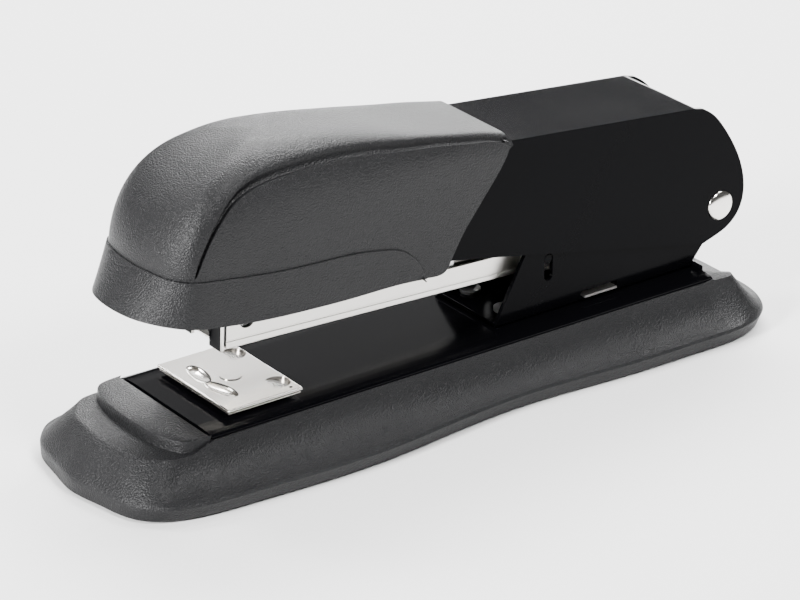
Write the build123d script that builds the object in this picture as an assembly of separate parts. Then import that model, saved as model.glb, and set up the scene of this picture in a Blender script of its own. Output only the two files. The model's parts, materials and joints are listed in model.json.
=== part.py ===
"""Desktop full-strip stapler: a moulded shoe with a steel plate, a magazine and a capped arm on one hinge.

Millimetres. +X runs from the stapling nose to the hinge, +Z is up, and the part is symmetric about Y = 0.
The origin is under the middle of the shoe, on the surface that it stands on.
The magazine and the arm are drawn level, as they lie when the arm is pressed right down, and are then
tilted nose up about the hinge into their rest places.
"""
from build123d import *
from math import cos, pi, sin
import os

# ---- hinge and rest angles ----
HINGE_X = 74.4
HINGE_Z = 26.9
MAGAZINE_TILT = 2.25
ARM_TILT = 5.51

# ---- shoe ----
SHOE_BOTTOM = 0.4
SHOE_BAND_TOP = 4.0
SHOE_WAIST = 7.2
SHOE_TOP = 12.3
BAND_FLARE_X = 1.0106
BAND_FLARE_Y = 1.034
FLANK_HOLLOW = 0.42
# half outline of the foot, then of the rim above it, from the nose round to the hinge end
FOOT = [(-84.9, 0), (-83.6, 8.3), (-81.1, 17.8), (-78.7, 20.7), (-73.3, 23.5), (-56.5, 25.7), (-44.5, 26.8),
        (-22.3, 26.5), (-5.3, 24.3), (13.6, 23), (32, 24), (45, 24.7), (60.6, 24.8), (72.4, 24), (79, 20.7),
        (83.3, 14.7), (84.9, 0)]
RIM = [(-77.9, 0), (-77.3, 7), (-75.3, 13.3), (-73, 16), (-69.2, 17.4), (-56, 17.4), (-44, 17.2),
       (-22, 17), (-5, 17), (13.6, 17), (32, 17), (45, 17), (60, 17.1), (69.5, 17.3), (74.3, 16.8),
       (75.3, 10.5), (75, 0)]
LEDGE_Z = 10.8
PAD_TOP = 13.3
PAD_FRONT = [(-62.4, 17), (-66.8, 16.75), (-69.1, 15), (-70.2, 12.2), (-71.35, 6), (-71.6, 0)]

# ---- base plate ----
PLATE_X0 = -61.7
PLATE_X1 = 69.0
PLATE_HALF = 17.0
PLATE_TOP = 13.34
PLATE_EDGE_Z = 12.63
PLATE_FLAT_HALF = 12.0
LIP_TOP = 14.6

# ---- hinge bracket ----
BRACKET_HALF = 10.95
BRACKET_T = 1.0
BRACKET_FLOOR_TOP = 14.4
BRACKET_X0 = 14.0
BRACKET_X1 = 67.9
SLOT_X = 28.0
SLOT_W = 2.2
SLOT_Z0 = 20.9
SLOT_Z1 = 27.1
WINDOW_X = (37.0, 47.0)
WINDOW_TOP = 15.9
RIVET_SPOTS = [(20.0, -6.0), (20.0, 6.0), (62.0, -6.0), (62.0, 6.0)]
SCREW_SPOTS = [(-55.0, -9.0), (-55.0, 9.0), (5.0, -11.0), (5.0, 11.0)]
FOOT_SPOTS = [(-72.0, -12.0), (-72.0, 12.0), (76.0, -11.5), (76.0, 11.5)]

# ---- hinge pin ----
PIN_R = 2.0
PIN_HOLE_R = 2.05
PIN_HEAD_R = 3.4

# ---- anvil ----
ANVIL_X = -45.9
ANVIL_X0 = -55.4
ANVIL_X1 = -36.9
ANVIL_HALF = 13.3
ANVIL_TOP = 15.4
ANVIL_T = 1.3
POST_R = 1.9
BUTTON_Z = (1.4, 3.4)
BUTTON_R = 6.0

# ---- magazine ----
MAG_HALF = 7.4
MAG_T = 0.6
MAG_BOTTOM = 20.65
MAG_X0 = -51.5
MAG_WALL_TOP = 25.9
MAG_NOSE_WALL_TOP = 31.4
NOSE_PLATE_X = (-53.0, -52.2)
STOP_PIN_Z = 24.1
STOP_PIN_R = 0.95
TRACK_HALF = 5.7
TRACK_Z = (21.35, 26.6)
STAPLE_HALF = 6.45
STAPLE_WIRE = 0.5
STRIP_X1 = -3.0
ROD_Z = 23.7
ROD_R = 0.75
ROD_X = (-49.5, 71.0)
PUSHER_X = (-2.8, 6.0)

# ---- arm ----
ARM_HALF = 12.07
ARM_T = 0.8
ARM_TOP = 50.6
ARM_BEND_R = 1.9
ARM_X0 = -59.0
ROOF_X1 = 64.4
ARM_SIDE = [(ARM_X0, ARM_TOP), (63.8, ARM_TOP), (66.4, 50.25), (69, 48.9), (73, 45.2), (77.1, 39.8),
            (79.8, 34.6), (80.9, 30.1), (80.4, 25.6), (77.6, 21.8), (73.7, 19.7), (70.8, 18.5),
            (16.6, 24.4), (1.4, 25.9), (-30, 28.5), (ARM_X0, 32)]
DRIVER_X = (-52.05, -51.68)
HOLDER_Z0 = 42.0
SPRING_SEAT_X = 20.0
SPRING_SEAT_Z = 41.0

# ---- cap ----
CAP_SIDE = [(-74.8, 24.2), (-70.6, 33.1), (-69.5, 39), (-66.5, 44.9), (-61.7, 50), (-55.6, 54), (-48.5, 56.5),
            (-41.4, 57.4), (-30.7, 57.15), (-18.2, 55.85), (-6, 54.3), (6.6, 53), (12.9, 52.1), (13.1, 50.9),
            (11.9, 47.1), (7.4, 40), (3.5, 34.3), (0.6, 28.9), (-0.9, 25.7), (-2.8, 24.2), (-14.5, 24.2),
            (-26, 23.6), (-36, 23.3), (-58, 23.3), (-64, 23.6)]
BELT_Z = 33.1
HEM_Z = 23.0
# half outlines of the cap's hem and of its belt, point for point, from the nose to the rear
CAP_HEM = [(-75, 0), (-74.5, 4.5), (-73.2, 8.6), (-71, 11.6), (-69.1, 13.5), (-66.4, 15.3), (-63.3, 16.2),
           (-50, 16.3), (-25, 15.2), (-8, 14.3), (14, 13.6)]
CAP_BELT = [(-70.6, 0), (-70.3, 4), (-69.6, 8), (-68.6, 11), (-67.3, 13), (-65.6, 14.6), (-63.2, 15.35),
            (-50, 15.6), (-25, 14.8), (-8, 14), (14, 13.5)]
CAP_CROWN = [(16.5, 20), (16.5, 24), (15.6, 33.1), (15.45, 42), (14.9, 49), (13.3, 53.4), (10.9, 55.9),
             (7.7, 57), (0, 57.4)]
CAP_BOSS_SPOTS = [(-43.0, 0.0), (-8.0, 0.0)]
CAP_SCREW_TIP = 52.8


def block(x0, x1, y0, y1, z0, z1):
    """A box given by its limits along each axis."""
    return Pos((x0 + x1) / 2, (y0 + y1) / 2, (z0 + z1) / 2) * Box(x1 - x0, y1 - y0, z1 - z0)


def upright(x, y, r, z0, z1):
    """A cylinder along Z."""
    return Pos(x, y, (z0 + z1) / 2) * Cylinder(r, z1 - z0)


def crosswise(x, z, r, y0, y1):
    """A cylinder along Y."""
    return Pos(x, (y0 + y1) / 2, z) * Rot(90, 0, 0) * Cylinder(r, y1 - y0)


def lengthwise(y, z, r, x0, x1):
    """A cylinder along X."""
    return Pos((x0 + x1) / 2, y, z) * Rot(0, 90, 0) * Cylinder(r, x1 - x0)


def side_slab(points, y0, y1):
    """An XZ outline given a thickness from y0 to y1."""
    face = make_face(Plane.XZ * Polyline(*points, close=True))
    return Pos(0, y0, 0) * extrude(face, y1 - y0, dir=(0, 1, 0))


def plan_slab(points, z0, z1):
    """A half outline in XY, mirrored about Y = 0 and given a height from z0 to z1."""
    whole = points + [(x, -y) for x, y in reversed(points) if y > 0]
    return Pos(0, 0, z0) * extrude(make_face(Polyline(*whole, close=True)), z1 - z0, dir=(0, 0, 1))


def section_slab(points, x0, x1):
    """A half outline in YZ, mirrored about Y = 0 and run from x0 to x1."""
    whole = points + [(-y, z) for y, z in reversed(points) if y > 0]
    face = make_face(Plane.YZ * Polyline(*whole, close=True))
    return Pos(x0, 0, 0) * extrude(face, x1 - x0, dir=(1, 0, 0))


def tilted(shape, degrees):
    """Turn a shape nose up about the hinge."""
    return shape.rotate(Axis((HINGE_X, 0, HINGE_Z), (0, 1, 0)), degrees)


def both_sides(shape):
    """A shape and its mirror image about Y = 0."""
    return shape + mirror(shape, Plane.XZ)


# ---------------------------------------------------------------- base

def shoe_section(share, z, grow_x=1.0, grow_y=1.0):
    """One level of the shoe: share 1 is the foot outline and share 0 is the rim."""
    half = [(rx + share * (fx - rx), ry + share * (fy - ry)) for (fx, fy), (rx, ry) in zip(FOOT, RIM)]
    half = [(x * grow_x, y * grow_y) for x, y in half]
    whole = half + [(x, -y) for x, y in reversed(half) if y > 0]
    return Pos(0, 0, z) * make_face(Polyline(*whole, close=True))


def base_shoe():
    levels = [shoe_section(1, SHOE_BOTTOM),
              shoe_section(1, SHOE_BAND_TOP, BAND_FLARE_X, BAND_FLARE_Y),
              shoe_section(FLANK_HOLLOW, SHOE_WAIST),
              shoe_section(0, SHOE_TOP)]
    shoe = loft(levels, ruled=True)
    shoe -= block(-90, PLATE_X0 - 0.7, -30, 30, LEDGE_Z, 20)
    shoe += plan_slab(PAD_FRONT, LEDGE_Z - 1, PAD_TOP)
    shoe -= block(-59, 66, -13.6, 13.6, -1, SHOE_TOP - 2.2)
    for x in (-25.0, 25.0, 50.0):
        shoe += block(x - 1, x + 1, -13.8, 13.8, 3, SHOE_TOP - 2)
    for x, y in SCREW_SPOTS:
        shoe += upright(x, y, 2.9, 2.5, SHOE_TOP - 2)
        shoe -= upright(x, y, 1.05, 1, SHOE_TOP + 1)
    for x, y in RIVET_SPOTS:
        shoe -= upright(x, y, 2.6, 5, SHOE_TOP + 1)
    for x, y in FOOT_SPOTS:
        shoe -= upright(x, y, 4.2, -1, 2)
    return shoe - upright(ANVIL_X, 0, 3.2, -1, 20)


def anti_slip_feet():
    return Compound([upright(x, y, 4.1, 0, 1.9) for x, y in FOOT_SPOTS])


def base_plate():
    crown = [(PLATE_HALF, SHOE_TOP), (PLATE_HALF, PLATE_EDGE_Z), (14.6, 13.1), (PLATE_FLAT_HALF, PLATE_TOP)]
    plate = section_slab(crown, PLATE_X0, PLATE_X1)
    plate += block(PLATE_X1 - 1.0, PLATE_X1, -13.4, 13.4, SHOE_TOP + 0.1, LIP_TOP)
    plate -= upright(ANVIL_X, 0, POST_R + 0.06, 5, 20)
    for x, y in RIVET_SPOTS:
        plate -= upright(x, y, 1.5, 5, 20)
    for x, y in SCREW_SPOTS:
        plate -= upright(x, y, 1.2, 5, 20)
    return plate


def base_screws():
    screws = []
    for x, y in SCREW_SPOTS:
        shank = upright(x, y, 1.0, 2, PLATE_TOP - 0.4)
        screws.append(shank + upright(x, y, 2.2, 1.3, 2.45))
    return Compound(screws)


def hinge_bracket():
    side = [(BRACKET_X0, PLATE_TOP), (BRACKET_X0 + 0.4, 14.8), (21.4, 27.9), (23.8, 31.5), (66, 31.5)]
    side += [(HINGE_X + 6 * cos(a), HINGE_Z + 6 * sin(a)) for a in [pi * n / 12 for n in range(9, -6, -1)]]
    side += [(71, 18.4), (BRACKET_X1, 14.6), (BRACKET_X1, PLATE_TOP)]
    bracket = side_slab(side, -BRACKET_HALF, BRACKET_HALF)
    inner = BRACKET_HALF - BRACKET_T
    bracket -= block(0, 100, -inner, inner, BRACKET_FLOOR_TOP, 60)
    bracket -= crosswise(HINGE_X, HINGE_Z, PIN_R + 0.01, -20, 20)
    bracket -= block(SLOT_X - SLOT_W / 2, SLOT_X + SLOT_W / 2, -20, 20, SLOT_Z0 + 1.1, SLOT_Z1 - 1.1)
    for z in (SLOT_Z0 + 1.1, SLOT_Z1 - 1.1):
        bracket -= crosswise(SLOT_X, z, SLOT_W / 2, -20, 20)
    for y in (-BRACKET_HALF, BRACKET_HALF):
        bracket -= block(*WINDOW_X, y - 1.1, y + 1.1, BRACKET_FLOOR_TOP, WINDOW_TOP)
    for x, y in RIVET_SPOTS:
        bracket -= upright(x, y, 1.5, 5, 20)
    return bracket


def bracket_rivets():
    rivets = []
    for x, y in RIVET_SPOTS:
        rivet = upright(x, y, 1.49, SHOE_TOP - 0.9, BRACKET_FLOOR_TOP + 0.6)
        rivet += upright(x, y, 2.4, SHOE_TOP - 0.9, SHOE_TOP - 0.01)
        rivets.append(rivet + upright(x, y, 2.3, BRACKET_FLOOR_TOP + 0.01, BRACKET_FLOOR_TOP + 0.8))
    return Compound(rivets)


def magazine_lift_spring():
    """A steel leaf: flat feet held in the bracket's windows, and a tongue that rises under the magazine."""
    z = BRACKET_FLOOR_TOP + 0.02
    leaf = block(36.0, 57.0, -8.0, 8.0, z, z + 0.5)
    leaf += block(WINDOW_X[0] + 0.6, WINDOW_X[1] - 0.6, -11.6, 11.6, z, z + 0.5)
    tongue = [(56.0, z), (27.0, z + 6.6), (24.5, z + 6.5), (24.5, z + 7.0), (27.0, z + 7.1), (56.0, z + 0.5)]
    leaf -= block(30, 52, -4.6, 4.6, z - 1, z + 1)
    return leaf + side_slab(tongue, -4.2, 4.2)


def hinge_pin():
    reach = ARM_HALF + 0.08
    pin = crosswise(HINGE_X, HINGE_Z, PIN_R, -reach - 0.5, reach + 0.5)
    for side in (-1, 1):
        dome = Pos(HINGE_X, side * (reach - 5.25), HINGE_Z) * Sphere(6.27)
        inner, outer = sorted((side * reach, side * 20))
        pin += dome & block(0, 100, inner, outer, 0, 60)
    return pin


def hinge_spacers():
    ring = crosswise(HINGE_X, HINGE_Z, 3.6, MAG_HALF + 0.08, BRACKET_HALF - BRACKET_T - 0.01)
    ring -= crosswise(HINGE_X, HINGE_Z, PIN_R + 0.01, 0, 20)
    return Compound([ring, mirror(ring, Plane.XZ)])


# ---------------------------------------------------------------- anvil

def clinch_pocket(x, y, length_y, depth=0.55):
    """A shallow hollow with rounded ends, sunk in the anvil's top."""
    hollow = Pos(x, y, ANVIL_TOP + 2.6) * Rot(90, 0, 0) * Cylinder(3.3, length_y)
    return hollow & block(x - 4, x + 4, y - length_y, y + length_y, ANVIL_TOP - depth, ANVIL_TOP + 5)


def anvil_plate():
    anvil = block(ANVIL_X0, ANVIL_X1, -ANVIL_HALF, ANVIL_HALF, ANVIL_TOP - ANVIL_T, ANVIL_TOP)
    anvil = fillet(anvil.edges().filter_by(Axis.Z), 1.2)
    anvil += upright(ANVIL_X, 0, 5, PLATE_TOP + 0.03, ANVIL_TOP - ANVIL_T)
    for side in (-1, 1):
        anvil -= clinch_pocket(-51.6, side * 3.8, 6.4)
        anvil -= clinch_pocket(-40.7, side * 8.6, 5.8)
    return anvil - upright(ANVIL_X, 0, POST_R + 0.05, 5, 20)


def anvil_post():
    post = upright(ANVIL_X, 0, POST_R, 1.8, ANVIL_TOP + 0.05)
    return post + upright(ANVIL_X, 0, 2.35, ANVIL_TOP + 0.02, ANVIL_TOP + 0.2)


def anvil_button():
    button = fillet(upright(ANVIL_X, 0, BUTTON_R, *BUTTON_Z).edges(), 0.5)
    return button - upright(ANVIL_X, 0, POST_R + 0.01, 1.79, 10)


def anvil_spring():
    spring = upright(ANVIL_X, 0, 3.0, BUTTON_Z[1] + 0.02, SHOE_TOP - 0.02)
    return spring - upright(ANVIL_X, 0, 2.3, 0, 20)


# ---------------------------------------------------------------- magazine, drawn level

def magazine_channel():
    side = [(MAG_X0, MAG_BOTTOM), (70, MAG_BOTTOM), (77.5, 22.9)]
    side += [(HINGE_X + 5 * cos(a), HINGE_Z + 5 * sin(a)) for a in [pi * n / 12 for n in range(-3, 10)]]
    side += [(66, 28), (60, MAG_WALL_TOP), (-33, MAG_WALL_TOP), (-39, MAG_NOSE_WALL_TOP),
             (MAG_X0, MAG_NOSE_WALL_TOP)]
    channel = side_slab(side, -MAG_HALF, MAG_HALF)
    inner = MAG_HALF - MAG_T
    channel -= block(-60, 90, -inner, inner, MAG_BOTTOM + MAG_T, 60)
    channel -= crosswise(HINGE_X, HINGE_Z, PIN_HOLE_R, -20, 20)
    channel -= crosswise(SLOT_X, STOP_PIN_Z, STOP_PIN_R, -20, 20)
    channel -= crosswise(-46.6, 26.4, 1.9, -20, 20)
    for side in (-1, 1):
        channel -= crosswise(-42.5, 30.1, 0.8, side * 12 - 6, side * 12 + 6)
    return channel


def nose_plate():
    x0, x1 = NOSE_PLATE_X
    plate = block(x0, x1, -MAG_HALF, MAG_HALF, MAG_BOTTOM - 0.05, MAG_NOSE_WALL_TOP)
    notch = [(3.1, 0), (3.1, 22.2), (2.4, 22.9), (0, 22.9)]
    plate -= section_slab(notch, x0 - 1, x1 + 1)
    wing = block(x0, -38.6, MAG_HALF + 0.01, MAG_HALF + 0.75, 28.9, MAG_NOSE_WALL_TOP)
    wing += block(x0, x1, MAG_HALF - 0.1, MAG_HALF + 0.75, 28.9, MAG_NOSE_WALL_TOP)
    plate += both_sides(wing)
    return plate - crosswise(-42.5, 30.1, 0.8, -20, 20)


def nose_rivets():
    rivet = crosswise(-42.5, 30.1, 0.78, MAG_HALF - MAG_T, MAG_HALF + 1.0)
    rivet += crosswise(-42.5, 30.1, 1.3, MAG_HALF + 0.76, MAG_HALF + 1.15)
    return Compound([rivet, mirror(rivet, Plane.XZ)])


def staple_track():
    z0, z1 = TRACK_Z
    track = block(-50.5, 69.0, -TRACK_HALF, TRACK_HALF, z0, z1)
    track -= block(-60, 90, 0.6 - TRACK_HALF, TRACK_HALF - 0.6, 0, z1 - 0.6)
    return track - block(-47.0, 62.0, -1.25, 1.25, 0, 60)


def staple_strip():
    """A glued strip: a saddle over the track, ribbed where each wire meets the next."""
    crown_top = TRACK_Z[1] + 0.1 + STAPLE_WIRE
    strip = block(MAG_X0 + 0.05, STRIP_X1, -STAPLE_HALF, STAPLE_HALF, TRACK_Z[0], crown_top)
    inner = STAPLE_HALF - STAPLE_WIRE
    return strip - block(-60, 90, -inner, inner, 0, crown_top - STAPLE_WIRE)


def pusher_rod():
    return lengthwise(0, ROD_Z, ROD_R, *ROD_X)


def rod_anchors():
    half = TRACK_HALF - 0.65
    plates = []
    for x in (-49.9, 66.5):
        plate = block(x, x + 1.2, -half, half, MAG_BOTTOM + MAG_T + 0.02, TRACK_Z[1] - 0.65)
        plates.append(plate - lengthwise(0, ROD_Z, ROD_R + 0.01, x - 1, x + 3))
    return Compound(plates)


def stop_pin():
    pins = crosswise(SLOT_X, STOP_PIN_Z, STOP_PIN_R - 0.01, MAG_HALF - MAG_T, BRACKET_HALF - 0.05)
    return Compound([pins, mirror(pins, Plane.XZ)])


def pusher():
    x0, x1 = PUSHER_X
    top = TRACK_Z[1] + 1.6
    saddle = block(x0, x1, -6.6, 6.6, TRACK_Z[0] + 0.15, top)
    saddle -= block(-60, 90, -5.88, 5.88, 0, TRACK_Z[1] + 0.15)
    saddle += block(x0 + 1, x1 - 1, -1.0, 1.0, ROD_Z, TRACK_Z[1] + 0.3)
    saddle += lengthwise(0, ROD_Z, 1.6, x0 + 1, x1 - 1)
    return saddle - lengthwise(0, ROD_Z, ROD_R + 0.06, -60, 90)


def pusher_spring():
    tube = lengthwise(0, ROD_Z, 1.6, PUSHER_X[1] - 0.98, 66.48)
    return tube - lengthwise(0, ROD_Z, 1.1, -60, 90)


# ---------------------------------------------------------------- arm, drawn level

def press_spring():
    """The leaf that lifts the arm off the magazine: an eye on the hinge pin and a long bowed tongue."""
    t = 0.8
    eye = crosswise(HINGE_X, HINGE_Z, 2.06 + t, -4, 4)
    top = HINGE_Z + 2.06
    bow = [(HINGE_X - 1.5, top), (58, 33.5), (40, 38), (26, 40), (18, 40.1), (14, 39.2),
           (14, 39.2 - t), (18, 40.1 - t), (26, 40 - t), (40, 38 - t), (58, 33.5 - t),
            (HINGE_X - 2.4, top - 0.4)]
    spring = eye + side_slab(bow, -4, 4)
    return spring - crosswise(HINGE_X, HINGE_Z, 2.06, -20, 20)


def spring_seat():
    """A hat-shaped bridge under the arm's roof that the press spring bears on."""
    x0, x1 = SPRING_SEAT_X - 5, SPRING_SEAT_X + 5
    roof = ARM_TOP - ARM_T
    hat = block(x0, x1, -9, 9, SPRING_SEAT_Z, roof - 0.01)
    hat -= block(x0 - 1, x1 + 1, -8.2, 8.2, SPRING_SEAT_Z + 0.8, roof + 1)
    flange = block(x0, x1, 8.2, 10.1, roof - 0.8, roof - 0.01)
    return hat + both_sides(flange)


def arm_channel():
    outer = side_slab(ARM_SIDE, -ARM_HALF, ARM_HALF)
    outer &= fillet(block(-90, 100, -ARM_HALF, ARM_HALF, 0, ARM_TOP)
                    .edges().filter_by(Axis.X).group_by(Axis.Z)[-1], ARM_BEND_R)
    inner = ARM_HALF - ARM_T
    outer -= fillet(block(-90, 100, -inner, inner, -5, ARM_TOP - ARM_T)
                    .edges().filter_by(Axis.X).group_by(Axis.Z)[-1], ARM_BEND_R - ARM_T)
    outer -= block(ROOF_X1, 100, -inner, inner, 30, 60)
    outer -= crosswise(HINGE_X, HINGE_Z, PIN_HOLE_R, -20, 20)
    for x, y in CAP_BOSS_SPOTS:
        outer -= upright(x, y, 1.3, 40, 60)
    return outer


def cap_outline(points, z):
    """One level of the cap's outline."""
    whole = points + [(x, -y) for x, y in reversed(points) if y > 0]
    return Pos(0, 0, z) * make_face(Polyline(*whole, close=True))


def cap_shell():
    skirt = loft([cap_outline(CAP_HEM, HEM_Z), cap_outline(CAP_BELT, BELT_Z)], ruled=True)
    cap = skirt + plan_slab(CAP_BELT, BELT_Z, 60)
    cap = cap & side_slab(CAP_SIDE, -17, 17) & section_slab(CAP_CROWN, -80, 20)
    tunnel = ARM_HALF + 0.04
    cap -= block(ARM_X0 - 0.1, 40, -tunnel, tunnel, 0, ARM_TOP + 0.02)
    cap -= plan_slab([(-68.8, 0), (-67.4, 6), (-64, 10), (-58, 12)], 0, 36)
    cap -= plan_slab([(-65.4, 0), (-64.6, 6), (-62, 10), (-58, 12)], 0, 44)
    cap -= plan_slab([(-71.6, 0), (-70.4, 5), (-67.6, 9.8), (-63, 12.8), (-58, 13)], 0, 28)
    pocket = block(-53.5, -14, -8.5, 8.5, 40, ARM_TOP + 2.6)
    for x, y in CAP_BOSS_SPOTS:
        pocket -= upright(x, y, 3.2, 40, 60)
    cap -= pocket
    for x, y in CAP_BOSS_SPOTS:
        cap -= upright(x, y, 1.01, 40, CAP_SCREW_TIP + 0.5)
    return cap


def cap_screws():
    screws = []
    roof = ARM_TOP - ARM_T
    for x, y in CAP_BOSS_SPOTS:
        head_top = roof - (1.02 if x < -20 else 0.02)
        screw = upright(x, y, 1.0, head_top - 0.5, CAP_SCREW_TIP)
        screws.append(screw + upright(x, y, 2.4, head_top - 1.3, head_top))
    return Compound(screws)


def driver_holder():
    roof = ARM_TOP - ARM_T
    x0 = DRIVER_X[1] + 0.01
    holder = block(x0, x0 + 1, -7, 7, HOLDER_Z0, roof - 0.01)
    holder += block(x0, -34, -7, 7, roof - 1.01, roof - 0.01)
    for side in (-1, 1):
        holder -= lengthwise(side * 4, 45, 0.9, -60, -40)
    return holder - upright(CAP_BOSS_SPOTS[0][0], 0, 1.3, 40, 60)


def driver_blade():
    blade = block(*DRIVER_X, -6.35, 6.35, MAG_BOTTOM + 0.55, 48)
    for side in (-1, 1):
        blade -= lengthwise(side * 4, 45, 0.9, -60, -40)
    return blade


def driver_rivets():
    rivets = []
    for side in (-1, 1):
        rivet = lengthwise(side * 4, 45, 0.88, DRIVER_X[0] - 0.6, DRIVER_X[1] + 1.6)
        rivet += lengthwise(side * 4, 45, 1.5, DRIVER_X[0] - 0.6, DRIVER_X[0] - 0.01)
        rivets.append(rivet + lengthwise(side * 4, 45, 1.5, DRIVER_X[1] + 1.03, DRIVER_X[1] + 1.6))
    return Compound(rivets)


BASE = [base_shoe, anti_slip_feet, base_plate, base_screws, hinge_bracket, bracket_rivets,
        magazine_lift_spring, hinge_pin, hinge_spacers, anvil_plate, anvil_post, anvil_button, anvil_spring]
MAGAZINE = [magazine_channel, nose_plate, nose_rivets, staple_track, staple_strip, pusher_rod, rod_anchors,
            stop_pin, pusher, pusher_spring]
ARM = [press_spring, spring_seat, arm_channel, cap_shell, cap_screws, driver_holder, driver_blade,
       driver_rivets]

os.makedirs("parts", exist_ok=True)
for group, tilt in ((BASE, 0), (MAGAZINE, MAGAZINE_TILT), (ARM, ARM_TILT)):
    for build in group:
        shape = build()
        export_step(tilted(shape, tilt) if tilt else shape, f"parts/{build.__name__}.step")
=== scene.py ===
"""The looks of a desktop stapler, built round its mechanical frame.

Laid out as an add-on and run as a script. Pieces are drawn in millimetres, level, as they lie when the
stapler is pressed right down; settle() tilts them about the hinge into rest and brings them to metres.
"""

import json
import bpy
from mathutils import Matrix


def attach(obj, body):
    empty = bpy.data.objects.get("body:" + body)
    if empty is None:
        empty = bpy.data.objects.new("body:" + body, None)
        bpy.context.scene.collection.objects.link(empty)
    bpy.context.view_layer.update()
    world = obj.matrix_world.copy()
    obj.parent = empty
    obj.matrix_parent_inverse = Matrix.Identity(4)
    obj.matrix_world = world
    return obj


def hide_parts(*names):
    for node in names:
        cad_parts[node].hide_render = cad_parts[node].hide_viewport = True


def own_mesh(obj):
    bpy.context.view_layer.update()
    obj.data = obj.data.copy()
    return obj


bl_info = {
    "name": "Desktop Stapler",
    "version": (1, 0, 0),
    "blender": (4, 5, 0),
    "location": "3D View > Sidebar > Stapler",
    "description": "Shapes and finishes the pieces of a desktop stapler round its mechanical frame",
    "category": "Object",
}

from math import cos, pi, radians, sin

import bmesh
import bpy
import numpy as np
from mathutils import Matrix, Vector

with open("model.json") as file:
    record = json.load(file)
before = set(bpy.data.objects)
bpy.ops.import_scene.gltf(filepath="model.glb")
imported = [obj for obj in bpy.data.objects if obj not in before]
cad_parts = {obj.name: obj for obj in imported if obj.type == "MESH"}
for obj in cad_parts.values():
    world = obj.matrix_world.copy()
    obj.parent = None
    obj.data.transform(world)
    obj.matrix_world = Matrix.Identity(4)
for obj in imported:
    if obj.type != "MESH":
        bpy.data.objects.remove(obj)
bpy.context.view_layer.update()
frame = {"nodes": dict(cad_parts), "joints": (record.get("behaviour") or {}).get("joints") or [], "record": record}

MM = 0.001
JOINTS = {joint["name"]: joint for joint in frame["joints"]}
HINGE = [value / MM for value in JOINTS["magazine_swing"]["pos_m"]]
ANVIL_X = -45.9
MAGAZINE_TILT = radians(2.25)
ARM_TILT = radians(5.51)


# ------------------------------------------------------------------ sizes and colours

class StaplerSizes(bpy.types.PropertyGroup):
    """Fine sizes of the moulded and pressed detail, in millimetres."""
    groove_width: bpy.props.FloatProperty(
        name="Groove width", description="Width of the channel between crown and side panel", default=1.75)
    groove_depth: bpy.props.FloatProperty(
        name="Groove depth", description="Depth of the channel between crown and side panel", default=1.15)
    skirt_step: bpy.props.FloatProperty(
        name="Skirt step", description="How far the skirt stands proud of the panel", default=0.4)
    cap_wall: bpy.props.FloatProperty(
        name="Cap wall", description="Wall thickness of the moulded cap", default=1.25)
    fold_radius: bpy.props.FloatProperty(
        name="Fold radius", description="Outside radius of the arm's pressed folds", default=1.9)
    burr: bpy.props.FloatProperty(
        name="Edge break", description="Broken edge of cut sheet metal", default=0.12)


class StaplerColours(bpy.types.PropertyGroup):
    """Base colours of the finishes."""
    plastic: bpy.props.FloatVectorProperty(
        name="Plastic", description="Moulded cap and shoe", subtype="COLOR",
        default=(0.0042, 0.0042, 0.0048))
    lacquer: bpy.props.FloatVectorProperty(
        name="Lacquer", description="Gloss enamel on the pressed steel", subtype="COLOR",
        default=(0.0012, 0.0012, 0.0016))
    nickel: bpy.props.FloatVectorProperty(
        name="Nickel", description="Bright plated anvil and pin", subtype="COLOR",
        default=(0.83, 0.80, 0.76))
    zinc: bpy.props.FloatVectorProperty(
        name="Zinc", description="Plated magazine", subtype="COLOR", default=(0.78, 0.76, 0.72))
    floor: bpy.props.FloatVectorProperty(
        name="Floor", description="Pale studio floor", subtype="COLOR", default=(0.78, 0.78, 0.78))


def sizes():
    return bpy.context.scene.stapler_sizes


def colours():
    return bpy.context.scene.stapler_colours


# ------------------------------------------------------------------ modelling by hand, in steps

def deselect_all():
    if bpy.context.object and bpy.context.object.mode != "OBJECT":
        bpy.ops.object.mode_set(mode="OBJECT")
    bpy.ops.object.select_all(action="DESELECT")


def start(name, add, **how):
    """Add one primitive on its own and name it."""
    deselect_all()
    add(**how)
    piece = bpy.context.active_object
    piece.name = name
    piece.data.name = name
    return piece


def choose(piece, faces=None, edges=None):
    """Enter edit mode with only the faces or edges that pass a test selected."""
    deselect_all()
    piece.select_set(True)
    bpy.context.view_layer.objects.active = piece
    bpy.ops.object.mode_set(mode="EDIT")
    bpy.ops.mesh.select_mode(type="FACE" if faces else "EDGE")
    bpy.ops.mesh.select_all(action="DESELECT")
    mesh = bmesh.from_edit_mesh(piece.data)
    mesh.normal_update()
    for item in mesh.faces if faces else mesh.edges:
        if (faces or edges)(item):
            item.select_set(True)
    mesh.select_flush(True)
    bmesh.update_edit_mesh(piece.data)


def choose_all(piece):
    choose(piece, faces=lambda face: True)


def leave():
    bpy.ops.object.mode_set(mode="OBJECT")


def bake_place(piece):
    deselect_all()
    piece.select_set(True)
    bpy.context.view_layer.objects.active = piece
    bpy.ops.object.transform_apply(location=True, rotation=True, scale=True)
    return piece


def tidy_mesh(piece, gap=0.004):
    """Merge doubles and point every face outwards."""
    choose_all(piece)
    bpy.ops.mesh.remove_doubles(threshold=gap)
    bpy.ops.mesh.normals_make_consistent(inside=False)
    leave()
    return piece


def modify(piece, kind, **settings):
    """Add a modifier, set it up and apply it."""
    deselect_all()
    piece.select_set(True)
    bpy.context.view_layer.objects.active = piece
    modifier = piece.modifiers.new(kind.lower(), kind)
    for key, value in settings.items():
        setattr(modifier, key, value)
    bpy.ops.object.modifier_apply(modifier=modifier.name)
    return piece


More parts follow.
